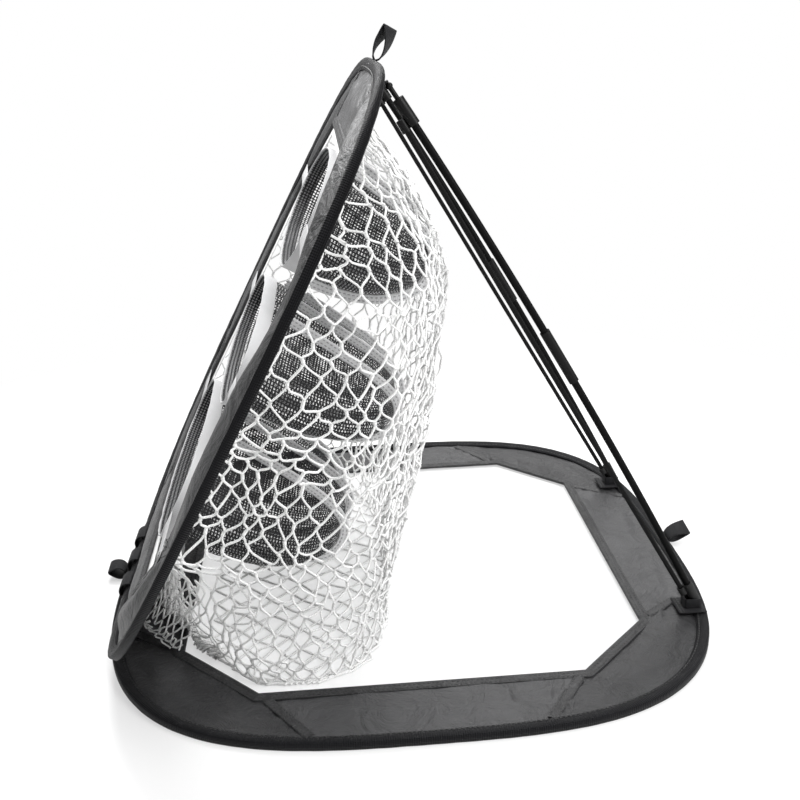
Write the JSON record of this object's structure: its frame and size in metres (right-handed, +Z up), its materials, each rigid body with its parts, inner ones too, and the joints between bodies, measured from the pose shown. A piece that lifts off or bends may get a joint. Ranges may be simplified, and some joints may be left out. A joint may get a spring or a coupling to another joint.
{
  "type": "golf chipping net",
  "caption": "Free-standing pop-up golf chipping net: a leaning fabric target with ball pockets and a knotted catch net, hinged to a flat base and propped by two poles.",
  "frame": {"origin": "on the ground, under the centre of the base panel and of the box round the whole part", "axes": "+Y from the player's side to the rear, +X to the side, +Z up"},
  "size_m": [0.51, 0.542, 0.4623],
  "materials": {
    "spring_steel": "satin",
    "crimp_steel": "satin",
    "edge_tape": "woven, matt",
    "border_fabric": "woven polyester with a soft sheen",
    "hem_fabric": "folded polyester, matt",
    "black_webbing": "ribbed webbing, matt",
    "grey_tape": "woven tape, matt",
    "black_mesh": "open square mesh, matt",
    "white_net": "knotted cord net, matt",
    "glass_fibre_rod": "smooth glass-fibre rod",
    "ferrule_metal": "black coated",
    "black_fitting": "moulded",
    "rubber_foot": "matt",
    "elastic_cord": "braided elastic cord"
  },
  "bodies": {
    "base": {"base_hoop": "spring_steel", "base_hoop_joint": "crimp_steel", "base_binding": "edge_tape", "base_strip_front": "border_fabric", "base_strip_rear": "border_fabric", "base_strip_left": "border_fabric", "base_strip_right": "border_fabric", "base_corner_front_left": "border_fabric", "base_corner_front_right": "border_fabric", "base_corner_rear_left": "border_fabric", "base_corner_rear_right": "border_fabric", "base_hem": "hem_fabric", "base_seam_tapes": "hem_fabric", "base_tab_front": "black_webbing", "base_tab_rear": "black_webbing", "base_pole_sleeve_left": "black_webbing", "base_pole_sleeve_right": "black_webbing", "hinge_straps": "black_webbing"},
    "target": {"target_hoop": "spring_steel", "target_hoop_joint": "crimp_steel", "target_binding": "edge_tape", "target_strip_top": "border_fabric", "target_strip_bottom": "border_fabric", "target_strip_left": "border_fabric", "target_strip_right": "border_fabric", "target_corner_top_left": "border_fabric", "target_corner_top_right": "border_fabric", "target_corner_bottom_left": "border_fabric", "target_corner_bottom_right": "border_fabric", "target_hem": "hem_fabric", "target_seam_tapes": "hem_fabric", "target_tab_top": "black_webbing", "target_pole_loop_left": "black_webbing", "target_pole_loop_right": "black_webbing", "pocket_rim_top": "grey_tape", "pocket_rim_middle": "grey_tape", "pocket_rim_bottom": "grey_tape", "pocket_mesh_top": "black_mesh", "pocket_mesh_middle": "black_mesh", "pocket_mesh_bottom": "black_mesh", "pocket_tape_top": "grey_tape", "pocket_tape_middle": "grey_tape", "pocket_tape_bottom": "grey_tape", "pocket_side_ties": "grey_tape", "catch_net": "white_net", "catch_net_border": "white_net"},
    "pole_left": {"pole_left_upper_rod": "glass_fibre_rod", "pole_left_lower_rod": "glass_fibre_rod", "pole_left_ferrule": "ferrule_metal", "pole_left_top_fitting": "black_fitting", "pole_left_foot": "rubber_foot", "pole_left_tension_cord": "elastic_cord"},
    "pole_right": {"pole_right_upper_rod": "glass_fibre_rod", "pole_right_lower_rod": "glass_fibre_rod", "pole_right_ferrule": "ferrule_metal", "pole_right_top_fitting": "black_fitting", "pole_right_foot": "rubber_foot", "pole_right_tension_cord": "elastic_cord"}
  },
  "joints": [
    {"name": "target_fold", "type": "hinge", "parent": "base", "child": "target", "pos_m": [0, -0.236, 0.01524], "axis": [-1, 0, 0], "range_deg": [0, 57], "deforming": ["catch_net", "pocket_mesh_top", "pocket_mesh_middle", "pocket_mesh_bottom", "pocket_tape_top", "pocket_tape_middle", "pocket_tape_bottom"]},
    {"name": "pole_left_swing", "type": "hinge", "parent": "target", "child": "pole_left", "pos_m": [-0.118, -0.00912, 0.42121], "axis": [1, 0, 0], "range_deg": [0, 112.6]},
    {"name": "pole_right_swing", "type": "hinge", "parent": "target", "child": "pole_right", "pos_m": [0.118, -0.00912, 0.42121], "axis": [1, 0, 0], "range_deg": [0, 112.6]}
  ],
  "couplings": [
    {"joint": "pole_left_swing", "follows": "target_fold", "ratio": 1.974},
    {"joint": "pole_right_swing", "follows": "target_fold", "ratio": 1.974}
  ]
}
